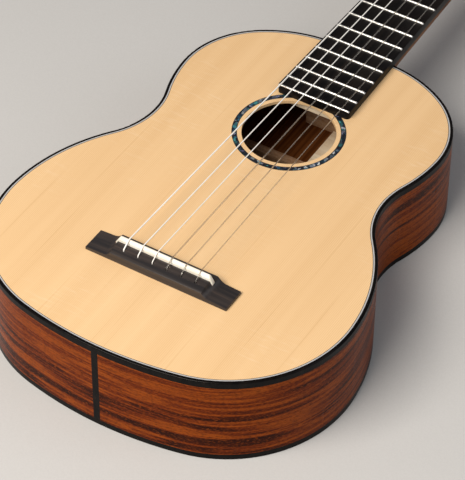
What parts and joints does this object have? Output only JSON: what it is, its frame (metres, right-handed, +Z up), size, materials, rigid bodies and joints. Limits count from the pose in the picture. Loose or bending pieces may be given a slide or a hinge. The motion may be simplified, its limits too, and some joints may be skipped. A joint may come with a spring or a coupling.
{
  "type": "acoustic guitar",
  "caption": "Small nylon-string acoustic guitar with a string-through bridge, shell rosette and slotted head with geared tuning machines.",
  "frame": {"origin": "middle of the guitar's footprint, on the level of its flat back", "axes": "+Z up out of the soundboard (which slopes 0.96 degrees down towards the neck), +Y towards the head, +X towards the treble strings"},
  "size_m": [0.2773, 0.7774, 0.0869],
  "materials": {
    "spruce_top": "satin, straight-grained pale spruce",
    "brace_spruce": "bare planed spruce",
    "mahogany": "gloss, ribbon-striped red-brown",
    "neck_wood": "satin red-brown",
    "ebony": "polished black wood",
    "black_line": "dyed black veneer",
    "white_line": "pale maple line",
    "inner_wood": "bare cedar-brown wood",
    "shell": "polished blue-green shell mosaic",
    "bone": "polished bone",
    "fret_metal": "polished nickel silver",
    "machine_metal": "polished nickel plate",
    "gear_brass": "turned brass",
    "worm_steel": "turned steel",
    "button": "polished black",
    "nylon": "clear nylon",
    "wound_string": "silver-plated winding"
  },
  "bodies": {
    "root": {"back_bass": "mahogany", "back_binding": "ebony", "back_braces": "inner_wood", "back_inlay": "ebony", "back_lining": "inner_wood", "back_seam_strips": "brace_spruce", "back_treble": "mahogany", "bridge": "ebony", "bridge_plate": "inner_wood", "fan_braces": "brace_spruce", "fingerboard": "ebony", "frets": "fret_metal", "head_veneer": "ebony", "heel_cap": "ebony", "lower_cross_brace": "brace_spruce", "machine_plate_bass": "machine_metal", "machine_plate_treble": "machine_metal", "neck": "neck_wood", "neck_block": "inner_wood", "nut": "bone", "plate_screws": "machine_metal", "purfling_black_lines": "black_line", "purfling_white_line": "white_line", "rib_bass": "mahogany", "rib_treble": "mahogany", "rosette_lines": "black_line", "rosette_shell": "shell", "saddle": "bone", "side_dots": "white_line", "soundboard_bass": "spruce_top", "soundboard_treble": "spruce_top", "string_1": "nylon", "string_2": "nylon", "string_3": "nylon", "string_4": "wound_string", "string_5": "wound_string", "string_6": "wound_string", "tail_block": "inner_wood", "tail_wedge": "ebony", "top_binding": "ebony", "top_lining": "inner_wood", "upper_cross_brace": "brace_spruce"},
    "peg_1": {"worm_1": "worm_steel", "button_1": "button"},
    "drum_1": {"roller_1": "gear_brass"},
    "peg_2": {"worm_2": "worm_steel", "button_2": "button"},
    "drum_2": {"roller_2": "gear_brass"},
    "peg_3": {"worm_3": "worm_steel", "button_3": "button"},
    "drum_3": {"roller_3": "gear_brass"},
    "peg_4": {"worm_4": "worm_steel", "button_4": "button"},
    "drum_4": {"roller_4": "gear_brass"},
    "peg_5": {"worm_5": "worm_steel", "button_5": "button"},
    "drum_5": {"roller_5": "gear_brass"},
    "peg_6": {"worm_6": "worm_steel", "button_6": "button"},
    "drum_6": {"roller_6": "gear_brass"}
  },
  "joints": [
    {"name": "peg_1_turn", "type": "hinge", "parent": "root", "child": "peg_1", "pos_m": [0.0372, 0.28771, 0.04613], "axis": [0, 0.2072, 0.9783], "continuous": true},
    {"name": "drum_1_turn", "type": "hinge", "parent": "root", "child": "drum_1", "pos_m": [0.014, 0.27901, 0.04798], "axis": [1, 0, 0], "continuous": true},
    {"name": "peg_2_turn", "type": "hinge", "parent": "root", "child": "peg_2", "pos_m": [0.0372, 0.32195, 0.03888], "axis": [0, 0.2072, 0.9783], "continuous": true},
    {"name": "drum_2_turn", "type": "hinge", "parent": "root", "child": "drum_2", "pos_m": [0.014, 0.31325, 0.04072], "axis": [1, 0, 0], "continuous": true},
    {"name": "peg_3_turn", "type": "hinge", "parent": "root", "child": "peg_3", "pos_m": [0.0372, 0.35619, 0.03163], "axis": [0, 0.2072, 0.9783], "continuous": true},
    {"name": "drum_3_turn", "type": "hinge", "parent": "root", "child": "drum_3", "pos_m": [0.014, 0.34749, 0.03347], "axis": [1, 0, 0], "continuous": true},
    {"name": "peg_4_turn", "type": "hinge", "parent": "root", "child": "peg_4", "pos_m": [-0.0372, 0.35619, 0.03163], "axis": [0, 0.2072, 0.9783], "continuous": true},
    {"name": "drum_4_turn", "type": "hinge", "parent": "root", "child": "drum_4", "pos_m": [-0.014, 0.34749, 0.03347], "axis": [1, 0, 0], "continuous": true},
    {"name": "peg_5_turn", "type": "hinge", "parent": "root", "child": "peg_5", "pos_m": [-0.0372, 0.32195, 0.03888], "axis": [0, 0.2072, 0.9783], "continuous": true},
    {"name": "drum_5_turn", "type": "hinge", "parent": "root", "child": "drum_5", "pos_m": [-0.014, 0.31325, 0.04072], "axis": [1, 0, 0], "continuous": true},
    {"name": "peg_6_turn", "type": "hinge", "parent": "root", "child": "peg_6", "pos_m": [-0.0372, 0.28771, 0.04613], "axis": [0, 0.2072, 0.9783], "continuous": true},
    {"name": "drum_6_turn", "type": "hinge", "parent": "root", "child": "drum_6", "pos_m": [-0.014, 0.27901, 0.04798], "axis": [1, 0, 0], "continuous": true}
  ],
  "couplings": [
    {"joint": "drum_1_turn", "follows": "peg_1_turn", "ratio": -0.071429},
    {"joint": "drum_2_turn", "follows": "peg_2_turn", "ratio": -0.071429},
    {"joint": "drum_3_turn", "follows": "peg_3_turn", "ratio": -0.071429},
    {"joint": "drum_4_turn", "follows": "peg_4_turn", "ratio": -0.071429},
    {"joint": "drum_5_turn", "follows": "peg_5_turn", "ratio": -0.071429},
    {"joint": "drum_6_turn", "follows": "peg_6_turn", "ratio": -0.071429}
  ]
}
